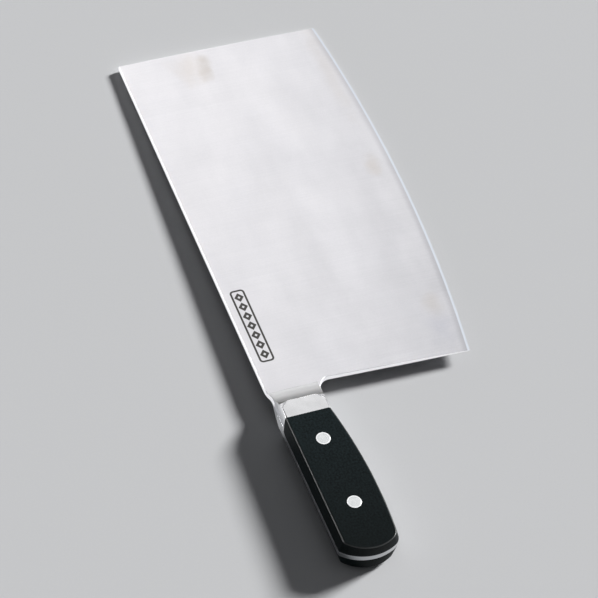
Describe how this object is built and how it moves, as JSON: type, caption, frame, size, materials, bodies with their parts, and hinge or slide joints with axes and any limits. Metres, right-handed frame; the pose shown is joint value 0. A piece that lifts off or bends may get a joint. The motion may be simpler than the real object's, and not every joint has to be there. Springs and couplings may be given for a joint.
{
  "type": "meat cleaver",
  "caption": "Broad rectangular cleaver with a gently curved cutting edge, a full tang, faceted steel bolster cheeks and a black riveted handle.",
  "frame": {"origin": "centre of the part's overall box, in the blade's mid-plane", "axes": "+X towards the blade's tip, +Y towards the spine, +Z out of the blade's right face"},
  "size_m": [0.3252, 0.1146, 0.016],
  "materials": {
    "blade_steel": "fine cross-ground satin stainless steel",
    "bolster_steel": "bright polished stainless steel",
    "handle_polymer": "satin black moulded polymer, slightly glossier along its edges",
    "rivet_steel": "bright stainless steel, ground flush with the handle"
  },
  "bodies": {
    "root": {"blade": "blade_steel", "bolster_right": "bolster_steel", "bolster_left": "bolster_steel", "scale_right": "handle_polymer", "scale_left": "handle_polymer", "front_rivet_tube": "rivet_steel", "front_rivet_pin": "rivet_steel", "rear_rivet_tube": "rivet_steel", "rear_rivet_pin": "rivet_steel"}
  },
  "joints": []
}
